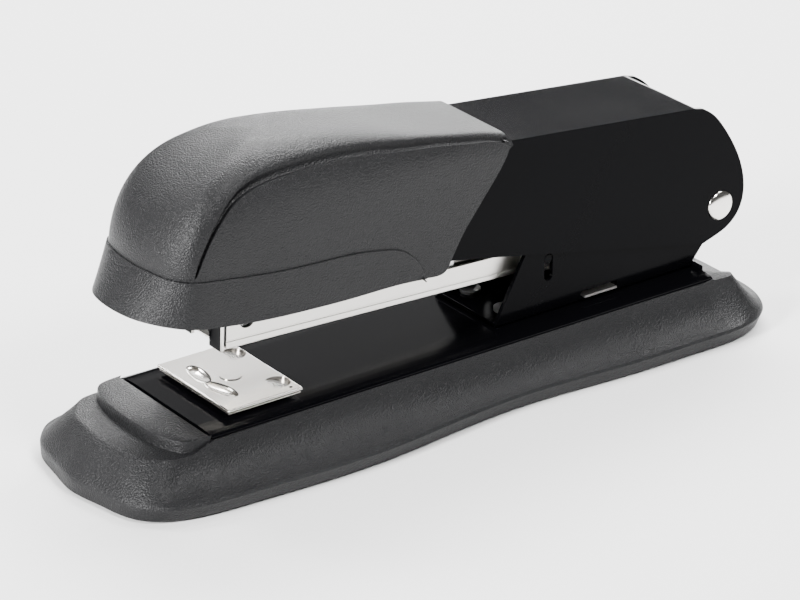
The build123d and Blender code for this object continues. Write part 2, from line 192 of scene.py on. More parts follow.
def cut(piece, *cutters):
    for cutter in cutters:
        modify(piece, "BOOLEAN", operation="DIFFERENCE", solver="EXACT", object=cutter)
        bpy.data.objects.remove(cutter)
    return piece


def join(piece, *others):
    for other in others:
        modify(piece, "BOOLEAN", operation="UNION", solver="EXACT", object=other)
        bpy.data.objects.remove(other)
    return piece


def block(name, low, high):
    middle = [(a + b) / 2 for a, b in zip(low, high)]
    piece = start(name, bpy.ops.mesh.primitive_cube_add, size=1, location=middle)
    piece.scale = [b - a for a, b in zip(low, high)]
    return bake_place(piece)


def rod(name, centre, radius, length, axis="Z", sides=48):
    turn = {"X": (0, pi / 2, 0), "Y": (pi / 2, 0, 0), "Z": (0, 0, 0)}[axis]
    piece = start(name, bpy.ops.mesh.primitive_cylinder_add, vertices=sides, radius=radius, depth=length,
                  location=centre, rotation=turn)
    return bake_place(piece)


def prism(name, points, low, high, place):
    """Draw an outline as a filled ring and extrude it: place(a, b, level) gives a corner's position."""
    piece = start(name, bpy.ops.mesh.primitive_circle_add, vertices=len(points), fill_type="NGON")
    for vertex, (a, b) in zip(piece.data.vertices, points):
        vertex.co = place(a, b, low)
    push = Vector(place(0, 0, high)) - Vector(place(0, 0, low))
    choose_all(piece)
    bpy.ops.mesh.extrude_region_move(TRANSFORM_OT_translate={"value": push})
    bpy.ops.mesh.select_all(action="SELECT")
    bpy.ops.mesh.normals_make_consistent(inside=False)
    leave()
    return piece


def side_prism(name, points, low, high):
    return prism(name, points, low, high, lambda a, b, level: (a, level, b))


def end_prism(name, points, low, high):
    return prism(name, points, low, high, lambda a, b, level: (level, a, b))


def mirrored(points):
    """A half outline and its mirror image across the lengthwise plane, as one ring."""
    return points + [(-a, b) for a, b in reversed(points) if a]


def ease_edges(piece, width, test=None, segments=2):
    """Bevel the edges that pass a test, or every edge sharper than 30 degrees."""
    sharp = radians(30)
    test = test or (lambda edge: len(edge.link_faces) == 2 and edge.calc_face_angle(0) > sharp)
    choose(piece, edges=test)
    bpy.ops.mesh.bevel(offset=width, segments=segments, affect="EDGES", clamp_overlap=True)
    leave()
    return piece


def along(edge, axis):
    run = edge.verts[1].co - edge.verts[0].co
    return abs(run[axis]) > 0.99 * run.length


def smooth(piece, angle=35, flat=True):
    deselect_all()
    piece.select_set(True)
    bpy.context.view_layer.objects.active = piece
    bpy.ops.object.shade_smooth_by_angle(angle=radians(angle))
    if flat:
        modify(piece, "WEIGHTED_NORMAL", keep_sharp=True)
    return piece


def sheet_from_grid(name, across, up, place):
    """A grid primitive whose corners are moved to place(i, j)."""
    piece = start(name, bpy.ops.mesh.primitive_grid_add, size=2,
                  x_subdivisions=across - 1, y_subdivisions=up - 1)
    for vertex in piece.data.vertices:
        i = round((vertex.co.x + 1) / 2 * (across - 1))
        j = round((vertex.co.y + 1) / 2 * (up - 1))
        vertex.co = place(i, j)
    return piece


def mirror_across(piece):
    modify(piece, "MIRROR", use_axis=(False, True, False), use_clip=True, merge_threshold=0.01)
    return tidy_mesh(piece)


def resting(tilt=0.0):
    """The move from level millimetres to metres at rest, tilted about the hinge."""
    from_hinge = Matrix.Translation([-value for value in HINGE])
    about = Matrix.Translation(HINGE) @ Matrix.Rotation(tilt, 4, "Y") @ from_hinge
    return Matrix.Scale(MM, 4) @ about


def settle(piece, tilt=0.0):
    piece.data.transform(resting(tilt))
    return piece


def hand_over(piece, body, slot, material, *nodes):
    """Dress a finished piece, put it on its body and let it stand for its frame nodes."""
    piece.data.materials.clear()
    piece.data.materials.append(material)
    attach(piece, body)
    if nodes:
        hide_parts(*nodes)
    return piece


# ------------------------------------------------------------------ curves

def smooth_line(knots, points):
    """A curve of even curvature through the points, as a function of the knot value."""
    t = np.array(knots, float)
    p = np.array(points, float).reshape(len(t), -1)
    h = np.diff(t)
    system = np.eye(len(t))
    right = np.zeros_like(p)
    for i in range(1, len(t) - 1):
        system[i, i - 1:i + 2] = h[i - 1], 2 * (h[i - 1] + h[i]), h[i]
        right[i] = 6 * ((p[i + 1] - p[i]) / h[i] - (p[i] - p[i - 1]) / h[i - 1])
    bend = np.linalg.solve(system, right)

    def at(value):
        value = min(max(value, t[0]), t[-1])
        i = min(max(int(np.searchsorted(t, value)) - 1, 0), len(t) - 2)
        a = value - t[i]
        b = t[i + 1] - value
        found = (bend[i] * b ** 3 + bend[i + 1] * a ** 3) / (6 * h[i])
        found = found + (p[i] / h[i] - bend[i] * h[i] / 6) * b
        found = found + (p[i + 1] / h[i] - bend[i + 1] * h[i] / 6) * a
        return found if len(found) > 1 else float(found[0])
    return at


def curve_of(*pairs):
    """A smooth height or width along x, from (x, value) pairs."""
    return smooth_line([x for x, value in pairs], [value for x, value in pairs])


def lengths(points):
    steps = np.linalg.norm(np.diff(np.array(points, float), axis=0), axis=1)
    return np.concatenate([[0], np.cumsum(steps)])


def ring_half(points):
    """Half of a closed outline, square to the middle line at both ends, as a function of 0 to 1."""
    before = [(x, -y) for x, y in points[3:0:-1]]
    after = [(x, -y) for x, y in points[-2:-5:-1]]
    whole = before + points + after
    knots = lengths(whole)
    first, last = knots[3], knots[3 + len(points) - 1]
    line = smooth_line(knots, whole)
    return lambda share: line(first + share * (last - first)), (knots - first) / (last - first)


def blend(low, high, value):
    """0 below low, 1 above high, eased between."""
    share = min(max((value - low) / (high - low), 0), 1)
    return share * share * (3 - 2 * share)


# ------------------------------------------------------------------ finishes

def shared_group(name, sockets_in, sockets_out, build):
    """A shader node group with named inputs and outputs, built once."""
    group = bpy.data.node_groups.get(name)
    if group:
        return group
    group = bpy.data.node_groups.new(name, "ShaderNodeTree")
    for label, kind, default in sockets_in:
        socket = group.interface.new_socket(name=label, in_out="INPUT", socket_type=kind)
        if default is not None:
            socket.default_value = default
    for label, kind in sockets_out:
        group.interface.new_socket(name=label, in_out="OUTPUT", socket_type=kind)
    inside = group.nodes.new("NodeGroupInput")
    outside = group.nodes.new("NodeGroupOutput")
    build(group, inside, outside)
    return group


def maths(tree, operation, *values):
    node = tree.nodes.new("ShaderNodeMath")
    node.operation = operation
    for socket, value in zip(node.inputs, values):
        if isinstance(value, (int, float)):
            socket.default_value = value
        else:
            tree.links.new(value, socket)
    return node.outputs[0]


def noise(tree, vector, scale, detail=2.0, roughness=0.5):
    """Noise at a given number of features per metre; the scale may come from a socket."""
    node = tree.nodes.new("ShaderNodeTexNoise")
    node.inputs["Detail"].default_value = detail
    node.inputs["Roughness"].default_value = roughness
    tree.links.new(vector, node.inputs["Vector"])
    if isinstance(scale, (int, float)):
        node.inputs["Scale"].default_value = scale
    else:
        tree.links.new(scale, node.inputs["Scale"])
    return node.outputs["Fac"]


def spark_grain():
    """Fine leathery grain of a spark-eroded mould: rounded cells with a little fine noise."""
    def build(tree, inside, outside):
        cells = tree.nodes.new("ShaderNodeTexVoronoi")
        cells.feature = "SMOOTH_F1"
        cells.inputs["Smoothness"].default_value = 0.4
        tree.links.new(inside.outputs["Place"], cells.inputs["Vector"])
        tree.links.new(inside.outputs["Cells per metre"], cells.inputs["Scale"])
        fine = noise(tree, inside.outputs["Place"], inside.outputs["Cells per metre"], 1)
        height = maths(tree, "ADD", maths(tree, "MULTIPLY", cells.outputs["Distance"], -0.45), fine)
        tree.links.new(height, outside.inputs["Height"])
        patch = noise(tree, inside.outputs["Place"], 45, 3)
        tree.links.new(patch, outside.inputs["Patch"])
    return shared_group("Spark grain", [("Place", "NodeSocketVector", None),
                                        ("Cells per metre", "NodeSocketFloat", 1800.0)],
                        [("Height", "NodeSocketFloat"), ("Patch", "NodeSocketFloat")], build)


def handling_marks():
    """Soft cloudy smears and a few fine specks, as handling leaves on a shiny surface."""
    def build(tree, inside, outside):
        cloud = noise(tree, inside.outputs["Place"], 55, 4, 0.6)
        specks = noise(tree, inside.outputs["Place"], 900, 1)
        speck = maths(tree, "MULTIPLY", maths(tree, "GREATER_THAN", specks, 0.74), 0.5)
        total = maths(tree, "ADD", cloud, speck)
        amount = maths(tree, "MULTIPLY", maths(tree, "SUBTRACT", total, 0.5), inside.outputs["Amount"])
        tree.links.new(amount, outside.inputs["Marks"])
    return shared_group("Handling marks", [("Place", "NodeSocketVector", None),
                                           ("Amount", "NodeSocketFloat", 0.1)],
                        [("Marks", "NodeSocketFloat")], build)


def drawn_lines():
    """Fine lines left along sheet metal by rolling and plating, stretched along its length."""
    def build(tree, inside, outside):
        stretch = tree.nodes.new("ShaderNodeVectorMath")
        stretch.operation = "MULTIPLY"
        stretch.inputs[1].default_value = (60, 3500, 3500)
        tree.links.new(inside.outputs["Place"], stretch.inputs[0])
        lines = noise(tree, stretch.outputs[0], 1.0, 3, 0.6)
        tree.links.new(lines, outside.inputs["Lines"])
    return shared_group("Drawn lines", [("Place", "NodeSocketVector", None)],
                        [("Lines", "NodeSocketFloat")], build)


def new_finish(name):
    """An empty material with its shader, its object coordinates and the node tree."""
    material = bpy.data.materials.new(name)
    material.use_nodes = True
    tree = material.node_tree
    shader = tree.nodes["Principled BSDF"]
    place = tree.nodes.new("ShaderNodeTexCoord").outputs["Object"]
    return material, tree, shader, place


def use_group(tree, group, place, **values):
    node = tree.nodes.new("ShaderNodeGroup")
    node.node_tree = group
    tree.links.new(place, node.inputs["Place"])
    for label, value in values.items():
        node.inputs[label.replace("_", " ")].default_value = value
    return node.outputs


def bump(tree, shader, height, depth, strength=1.0, under=None):
    node = tree.nodes.new("ShaderNodeBump")
    node.inputs["Strength"].default_value = strength
    node.inputs["Distance"].default_value = depth
    tree.links.new(height, node.inputs["Height"])
    if under:
        tree.links.new(under, node.inputs["Normal"])
    tree.links.new(node.outputs[0], shader.inputs["Normal"])
    return node.outputs[0]


def tint(tree, shader, share, dark, light):
    """Base colour that wanders between two close tones."""
    mix = tree.nodes.new("ShaderNodeMix")
    mix.data_type = "RGBA"
    mix.inputs[6].default_value = (*dark, 1)
    mix.inputs[7].default_value = (*light, 1)
    tree.links.new(share, mix.inputs[0])
    tree.links.new(mix.outputs[2], shader.inputs["Base Color"])


def scaled(colour, factor):
    return [channel * factor for channel in colour]


def plastic_finish(name, cells, depth, rough, lift=1.0, shine=0.25):
    material, tree, shader, place = new_finish(name)
    grain = use_group(tree, spark_grain(), place, Cells_per_metre=cells)
    base = scaled(colours().plastic, lift)
    tint(tree, shader, grain["Patch"], scaled(base, 0.85), scaled(base, 1.2))
    roughness = maths(tree, "ADD", maths(tree, "MULTIPLY", grain["Patch"], 0.08), rough)
    tree.links.new(roughness, shader.inputs["Roughness"])
    shader.inputs["Specular IOR Level"].default_value = shine
    bump(tree, shader, grain["Height"], depth)
    return material


def lacquer_finish(name):
    material, tree, shader, place = new_finish(name)
    marks = use_group(tree, handling_marks(), place, Amount=0.07)
    base = list(colours().lacquer)
    tint(tree, shader, maths(tree, "ADD", marks["Marks"], 0.5), scaled(base, 0.8), scaled(base, 1.3))
    tree.links.new(maths(tree, "ADD", marks["Marks"], 0.13), shader.inputs["Roughness"])
    shader.inputs["Specular IOR Level"].default_value = 0.03
    bump(tree, shader, noise(tree, place, 420, 1), 0.000006)
    return material


def plated_finish(name, colour, rough, line_depth, wander=0.09):
    material, tree, shader, place = new_finish(name)
    lines = use_group(tree, drawn_lines(), place)
    marks = use_group(tree, handling_marks(), place, Amount=0.12)
    shader.inputs["Metallic"].default_value = 1.0
    tint(tree, shader, lines["Lines"], scaled(colour, 0.9), scaled(colour, 1.04))
    wobble = maths(tree, "MULTIPLY", lines["Lines"], wander)
    roughness = maths(tree, "ADD", maths(tree, "ADD", wobble, marks["Marks"]), rough)
    tree.links.new(roughness, shader.inputs["Roughness"])
    bump(tree, shader, lines["Lines"], line_depth)
    return material


def finish(name):
    """Each finish by name, made when it is first asked for."""
    made = bpy.data.materials.get(name)
    if made:
        return made
    makers = {
        "Shoe plastic": lambda: plastic_finish(name, 2700, 0.00018, 0.42),
        "Cap plastic": lambda: plastic_finish(name, 2900, 0.00016, 0.40, 1.0, 0.26),
        "Foot rubber": lambda: plastic_finish(name, 3200, 0.00005, 0.75, 0.5),
        "Black lacquer": lambda: lacquer_finish(name),
        "Bright nickel": lambda: plated_finish(name, colours().nickel, 0.13, 0.000003, 0.05),
        "Magazine zinc": lambda: plated_finish(name, colours().zinc, 0.30, 0.000008, 0.10),
        "Zinc steel": lambda: plated_finish(name, (0.60, 0.60, 0.60), 0.32, 0.000006),
        "Spring steel": lambda: plated_finish(name, (0.46, 0.45, 0.44), 0.26, 0.000005),
        "Staple wire": lambda: plated_finish(name, (0.70, 0.70, 0.70), 0.28, 0.000004),
    }
    return makers[name]()


# ------------------------------------------------------------------ shoe

FOOT = [(-84.9, 0), (-83.6, 8.3), (-81.1, 17.8), (-78.7, 20.7), (-73.3, 23.5), (-56.5, 25.7), (-44.5, 26.4),
        (-22.3, 26.2), (-5.3, 24.3), (13.6, 23), (32, 24), (45, 24.7), (60.6, 24.8), (72.4, 24), (79, 20.7),
        (83.3, 14.7), (84.9, 0)]
RIM = [(-77.9, 0), (-77.3, 7), (-75.3, 13.3), (-73, 16.0), (-69.2, 17.5), (-56, 17.4), (-44, 17.2),
       (-22, 17.1), (-5, 17.1), (13.6, 17.1), (32, 17.1), (45, 17.1), (60, 17.2), (69.5, 17.45),
       (74.3, 16.9), (75.3, 10.5), (75.0, 0)]
PAD = [(-71.6, 0), (-71.35, 6), (-70.2, 12.2), (-69.1, 15), (-66.8, 16.75), (-56, 17.03), (-44, 17.03),
       (-22, 17.03), (-5, 17.03), (13.6, 17.03), (32, 17.03), (45, 17.03), (59, 17.03), (68.3, 16.95),
       (69.15, 14), (69.15, 8), (69.15, 0)]
SHOE_UNDER = 0.4
BAND_TOP = 4.0
BAND_GROW = (1.0100, 1.034)
RIM_SIDE_Z = 12.35
LEDGE_Z = 10.7
PAD_Z = 13.3
PAD_REAR = -62.4
PLATE_UNDER = 12.27
PLATE_REAR = 69.15
TAIL_DECK = 12.5
TAIL_FOOT = 12.35
TAIL_DIP = 3.9
FLANK_LOW = 5.4
FLANK_STEPS = 16
WALL_TURN = ((0, 0), (0.1, 0.2), (0.5, 0.45), (0.82, 0.6), (0.95, 0.9), (1, 1.5))


def shoe_rows(foot, rim):
    """Points of the shoe's section from under its edge, over the band and flank, to the rim."""
    fx, fy = foot
    rx, ry = rim
    nose = 1 - blend(-74.5, -69.5, rx)
    bx = fx * (1 + (BAND_GROW[0] - 1) * (1 - nose))
    by = fy * (1 + (BAND_GROW[1] - 1) * (1 - 0.6 * nose))
    tail = blend(66, 73, rx)
    rim_z = RIM_SIDE_Z + (LEDGE_Z - RIM_SIDE_Z) * (1 - blend(-67.5, -61.5, rx))
    if rx > 70:
        rim_z -= TAIL_DIP * blend(0, 10, 17.0 - ry)
    rows = [(0.93 * fx, 0.86 * fy, SHOE_UNDER), (0.995 * fx, 0.985 * fy, SHOE_UNDER), (fx, fy, 0.75)]
    rows += [((fx + bx) / 2, (fy + by) / 2, 2.1), (bx, by, 3.4)]
    # flank: hollow along the sides, straighter at nose and tail
    lean = 0.14 + 0.42 * nose + 0.3 * tail
    low = FLANK_LOW + (0.5 * (BAND_TOP + rim_z) + 0.5 - FLANK_LOW) * max(nose, 0.8 * tail)
    start_point = np.array([bx + (rx - bx) * 0.035, by + (ry - by) * 0.035, BAND_TOP])
    middle = np.array([rx + lean * (bx - rx), ry + lean * (by - ry), low])
    end_point = np.array([rx, ry, rim_z])
    for n in range(FLANK_STEPS + 1):
        t = n / FLANK_STEPS
        rows.append(tuple((1 - t) ** 2 * start_point + 2 * t * (1 - t) * middle + t * t * end_point))
    return rows, rim_z


def shoe_column(share, foot_line, rim_line, pad_line):
    """One column of the shoe: its side, the step up to the pad or deck, and the top to the middle line."""
    foot, (rx, ry), (ex, ey) = foot_line(share), rim_line(share), pad_line(share)
    rows, rim_z = shoe_rows(foot, (rx, ry))
    padded, tail = ex < PAD_REAR, ex > 66.5
    top = PAD_Z if padded else TAIL_DECK if tail else PLATE_UNDER
    foot_z = TAIL_FOOT if tail else rim_z + (0.15 if padded else 0)
    for k in (0.08, 0.4, 0.75):
        rows.append((rx + (ex - rx) * k, ry + (ey - ry) * k, rim_z + (foot_z - rim_z) * k))
    lean = 0.035 if padded else 0.0
    for rise, inward in WALL_TURN:
        narrow = 1 - lean * inward / 3
        rows.append((ex + (0.45 * inward if padded else 0), ey * narrow, foot_z + (top - foot_z) * rise))
    sx, sy = rows[-1][:2]
    inner = PAD_REAR if padded else PLATE_REAR if tail else sx
    rows += [(sx + (inner - sx) * k, sy, top) for k in (0.3, 0.7, 0.97)]
    rows += [(inner, sy, top - 0.12 if padded or tail else top), (inner, sy, PLATE_UNDER)]
    rows.append((min(max(inner, PAD_REAR), PLATE_REAR), 0, PLATE_UNDER))
    return rows


def make_shoe():
    """The shoe: columns round its outline, hollow and ribbed below, with bosses and foot pockets."""
    foot_line, knots = ring_half(FOOT)
    rim_line, pad_line = [smooth_line(knots, [(x, -y) for x, y in line[3:0:-1]] + line
                                      + [(x, -y) for x, y in line[-2:-5:-1]]) for line in (RIM, PAD)]
    spots = np.linspace(0, 1, 260)
    rear_of_pad = min(np.linspace(0.05, 0.3, 4001), key=lambda share: abs(pad_line(share)[0] - PAD_REAR))
    spots = sorted(list(spots) + [rear_of_pad - 0.0002, rear_of_pad + 0.0002])
    columns = len(spots)
    made = [shoe_column(share, foot_line, rim_line, pad_line) for share in spots]
    up = len(made[0])
    shell = sheet_from_grid("shoe", columns, up + 1,
                            lambda i, j: made[i][j - 1] if j else (made[i][0][0], 0, SHOE_UNDER))
    mirror_across(shell)
    cavity = block("cavity", (-59, -13.6, -1), (66, 13.6, 10.1))
    ease_edges(cavity, 2.0, lambda edge: along(edge, 2), 4)
    cut(shell, cavity)
    for x in (-25.0, 25.0, 50.0):
        join(shell, block("rib", (x - 1, -13.9, 3), (x + 1, 13.9, 10.4)))
    for x, y in ((-55, -9), (-55, 9), (5, -11), (5, 11)):
        join(shell, rod("boss", (x, y, 6.6), 2.9, 8.2, sides=32))
        cut(shell, rod("hole", (x, y, 5.5), 1.1, 12, sides=24))
    for x, y in ((-72, -12), (-72, 12), (76, -11.5), (76, 11.5)):
        cut(shell, rod("pocket", (x, y, 0.5), 4.25, 3.0, sides=48))
    cut(shell, rod("anvil hole", (ANVIL_X, 0, 9), 3.2, 12, sides=48))
    return smooth(shell, 38, flat=False)


# ------------------------------------------------------------------ cap

FAN_X = -41.4
BELT_Z = 33.1
CAP_BELT = [(-70.55, 0), (-70.3, 4), (-69.6, 8), (-68.6, 11), (-67.3, 13), (-65.6, 14.6), (-63.2, 15.35),
            (-60, 15.5), (-50, 15.6), (FAN_X, 15.5), (-25, 14.8), (-8, 14.0), (13, 13.5)]
CAP_HEM = [(-74.8, 0), (-74.4, 4.5), (-73.0, 8.6), (-70.9, 11.6), (-69, 13.5), (-66.4, 15.3),
           (-63.3, 16.15), (-59.5, 16.3), (-50, 16.3), (FAN_X, 16.1), (-25, 15.2), (-8, 14.3), (13, 13.6)]
# the rear edge gives x for a height; the other curves give a height, or a squareness, for x
REAR_EDGE = curve_of((22, -2.2), (25.7, -0.9), (28.9, 0.6), (34.3, 3.5), (40.0, 7.4), (44.5, 10.4),
                     (47.1, 11.9), (49.3, 12.8), (50.9, 13.1), (52.1, 12.9), (58, 12.8))
CROWN_TOP = curve_of((FAN_X, 57.22), (-30.7, 57.0), (-18.2, 55.85), (-6, 54.3), (6.6, 53.0), (13, 52.1))
HEM_FOOT = curve_of((-76, 24.2), (-70, 23.9), (-64, 23.6), (-58, 23.3), (-47, 23.1), (-36, 23.3),
                    (-26, 23.6), (-14.5, 24.2), (-6, 24.1), (-2.8, 24.2), (-1.4, 25.0), (-0.7, 26.0))
STEP_LINE = curve_of((-76, 33.3), (-64, 33.1), (-53, 32.75), (-42.5, 32.6), (-32, 32.9), (-24, 32.9),
                     (-17.5, 32.3), (-14.1, 31.6), (-10.2, 29.2), (-7.6, 26.2), (-6.0, 23.6))
GROOVE_LINE = curve_of((-65.3, 32.9), (-64.3, 35.8), (-63.2, 38.7), (-62, 41.3), (-59.9, 44.5), (-57, 47.8),
                       (-53, 50.5), (-47, 52.4), (-40.5, 53.3), (-32, 53.9), (-23, 53.8), (-14.3, 53.3),
                       (-5.5, 53.0), (2.6, 52.5), (8.8, 52.0), (12.2, 51.3), (14, 50.8))
CORNER_BACK = 17.5
SQUARENESS = curve_of((-72, 1.80), (-65, 2.45), (-58, 2.95), (FAN_X, 4.15), (-20, 5.0), (0, 9.6), (13, 14))


def belt_and_hem():
    """The cap's outlines at the belt and at the hem, as functions of the distance from the rear corner."""
    back = [(x, -y) for x, y in CAP_BELT[3:0:-1]]
    knots = lengths(CAP_BELT[::-1] + back[::-1])
    belt = smooth_line(knots, CAP_BELT[::-1] + back[::-1])
    hem = smooth_line(knots, CAP_HEM[::-1] + [(x, -y) for x, y in CAP_HEM[1:4]])
    return belt, hem, knots[len(CAP_BELT) - 1], knots[[x for x, y in CAP_BELT[::-1]].index(FAN_X)]


BELT, HEM, BELT_RUN, FAN_RUN = belt_and_hem()
HALF_WIDTH = curve_of(*[(x, y) for x, y in CAP_BELT[8:]])
HEM_GROW = curve_of(*[(a[0], b[1] - a[1]) for a, b in zip(CAP_BELT[8:], CAP_HEM[8:])])


def cap_profile(distance, under=30, over=110):
    """Dense points up one column of the cap: from the skirt's foot to the crown's middle line."""
    px, py = BELT(distance)
    hx, hy = HEM(distance)
    nose = distance > FAN_RUN
    share = (px - FAN_X) / (CAP_BELT[-1][0] - FAN_X)

    def lean_x(z):
        return FAN_X + (REAR_EDGE(z) - FAN_X) * share

    points = []
    foot_z = HEM_FOOT(hx if nose else lean_x(HEM_FOOT(lean_x(25.0))))
    for n in range(under):
        z = foot_z + (BELT_Z - foot_z) * n / under
        down = (BELT_Z - z) / (BELT_Z - 24)
        if nose:
            points.append((px + (hx - px) * down, py + (hy - py) * down, z))
        else:
            x = lean_x(z)
            points.append((x, HALF_WIDTH(x) + HEM_GROW(x) * down, z))
    for n in range(over + 1):
        angle = pi / 2 * n / over
        x = px if nose else lean_x(45.0)
        for _ in range(1 if nose else 4):
            power = 2 / SQUARENESS(x)
            z = BELT_Z + (CROWN_TOP(x) - BELT_Z) * sin(angle) ** power
            x = px if nose else lean_x(z)
        out = max(cos(angle), 0) ** power
        points.append((FAN_X + (px - FAN_X) * out, py * out, z) if nose else (x, HALF_WIDTH(x) * out, z))
    return np.array(points)


def crossing(profile, run, line, start_at=0.0):
    """Distance up the profile where it first rises above a line drawn on the side."""
    for n in range(len(profile)):
        if run[n] >= start_at and profile[n][2] >= line(profile[n][0]):
            if n == 0:
                return run[0]
            gap_now = profile[n][2] - line(profile[n][0])
            gap_before = line(profile[n - 1][0]) - profile[n - 1][2]
            share = gap_before / (gap_now + gap_before) if gap_before > 0 else 1.0
            return max(run[n - 1] + share * (run[n] - run[n - 1]), start_at)
    return run[-1]


def cap_column(distance):
    """Rows of one column, as (distance up the profile, how far it is pushed out)."""
    profile = cap_profile(distance)
    run = lengths(profile)
    step = crossing(profile, run, STEP_LINE) if profile[0][2] < STEP_LINE(profile[0][0]) else 0.0
    groove = crossing(profile, run, GROOVE_LINE, step)
    panel = groove - step
    depth = sizes().groove_depth * blend(0.3, 2.5, panel)
    half = min(sizes().groove_width / 2 * blend(0.3, 2.5, panel), panel)
    proud = sizes().skirt_step * blend(0.0, 1.0, step)
    rows = [(step * k / 9, proud) for k in range(9)]
    rows += [(max(step - 0.16 * blend(0, 1, step), 0), proud), (step, proud * 0.62), (step, 0.0)]
    low = max(groove - half, step)
    rows += [(step + (low - step) * (k / 16), 0.0) for k in range(1, 16)]
    rows += [(low, 0.0), (low + 0.04 * depth, -0.25 * depth), (low + half * 0.25, -0.92 * depth),
             (groove, -depth), (groove + half * 0.5, -0.97 * depth), (groove + half * 0.95, -0.80 * depth),
             (groove + half * 1.35, -0.45 * depth), (groove + half * 1.8, -0.16 * depth),
             (groove + half * 2.4, -0.03 * depth), (groove + half * 3.1, 0.0)]
    high = rows[-1][0]
    rows += [(high + (run[-1] - high) * (1 - (1 - k / 30) ** 1.15), 0.0) for k in range(1, 31)]
    return profile, run, rows


def point_at(profile, run, distance):
    return np.array([np.interp(distance, run, profile[:, axis]) for axis in range(3)])


def make_cap():
    """The cap: columns fanned round its belt, pushed out at the skirt and in at the groove."""
    corner = BELT_RUN - CORNER_BACK
    spots = sorted(list(np.linspace(0, BELT_RUN, 190)) + list(np.linspace(corner - 3, corner + 3, 17)))
    columns = [cap_column(spot) for spot in spots]
    base = np.array([[point_at(profile, run, where) for where, out in rows]
                     for profile, run, rows in columns])
    ahead = np.gradient(base, axis=0)
    placed = base.copy()
    for i, (profile, run, rows) in enumerate(columns):
        for j, (where, out) in enumerate(rows):
            if out:
                upward = point_at(profile, run, where + 0.2) - point_at(profile, run, where - 0.2)
                normal = np.cross(upward, ahead[i, j])
                size = np.linalg.norm(normal)
                normal = normal / size if size > 1e-9 else np.array([0, 0, 1.0])
                if normal[1] < 0:
                    normal = -normal
                placed[i, j] = base[i, j] + normal * out
    placed[:, -1, 1] = 0
    placed[-1, :, 1] = 0
    # a flange that turns in from the slanted rear edge to the arm
    flange = placed[0].copy()
    flange[:, 1] = np.minimum(flange[:, 1], 12.2)
    flange[:, 2] = np.minimum(flange[:, 2], 50.75)
    middle = placed[0] * 0.75 + flange * 0.25
    middle[:, 0] += 0.12
    placed = np.concatenate([[flange], [middle], placed])
    shell = sheet_from_grid("cap", placed.shape[0], placed.shape[1], lambda i, j: placed[i, j])
    mirror_across(shell)
    modify(shell, "SOLIDIFY", thickness=sizes().cap_wall, offset=-1, use_even_offset=False)
    return smooth(shell, 40, flat=False)


# ------------------------------------------------------------------ pressed steel

PIVOT_HOLE = 1.96
PIN_HOLE = 2.06

def make_arm():
    """The arm's folded channel, open at the rear above the hinge."""
    arc = [(66.4, 50.25), (69.0, 48.9), (73.0, 45.2), (77.1, 39.8), (79.8, 34.6), (80.9, 30.1),
           (80.4, 25.6), (77.6, 21.8), (73.7, 19.7), (70.8, 18.5)]
    rear = smooth_line(lengths(arc), arc)
    ends = lengths(arc)[-1]
    outline = [(-59, 50.6), (63.8, 50.6)] + [tuple(rear(ends * n / 40)) for n in range(41)]
    outline += [(16.6, 24.4), (1.4, 25.9), (-30, 28.5), (-59, 32)]
    arm = side_prism("arm", outline, -12.07, 12.07)
    ease_edges(arm, sizes().fold_radius, lambda edge: along(edge, 0) and edge.verts[0].co.z > 50.5, 8)
    hollow = block("hollow", (-90, -11.27, -5), (120, 11.27, 49.8))
    inner_radius = sizes().fold_radius - 0.8
    ease_edges(hollow, inner_radius, lambda edge: along(edge, 0) and edge.verts[0].co.z > 49, 6)
    cut(arm, hollow, block("rear opening", (64.4, -11.27, 30), (90, 11.27, 60)))
    cut(arm, rod("pin hole", (HINGE[0], 0, HINGE[2]), PIN_HOLE, 40, "Y"))
    ease_edges(arm, sizes().burr, segments=2)
    return smooth(arm, 30)


def make_plate():
    """The base plate: edges rolled down over the shoe and a lip turned up at the rear."""
    half = [(17.0, 12.3), (17.0, 12.5), (16.85, 12.68), (16.2, 12.88), (14.8, 13.14), (13.2, 13.28),
            (11.5, 13.34)]
    plate = end_prism("base_plate_pressing", mirrored(half), -61.7, 69.0)
    lip = block("lip", (68.0, -13.4, 12.4), (69.0, 13.4, 14.6))
    ease_edges(lip, 1.6, lambda edge: along(edge, 0) and edge.verts[0].co.z > 14, 6)
    join(plate, lip)
    cut(plate, rod("anvil hole", (ANVIL_X, 0, 13), PIVOT_HOLE, 10))
    ease_edges(plate, 0.1, lambda edge: edge.calc_face_angle(0) > radians(50), 2)
    return smooth(plate, 30)


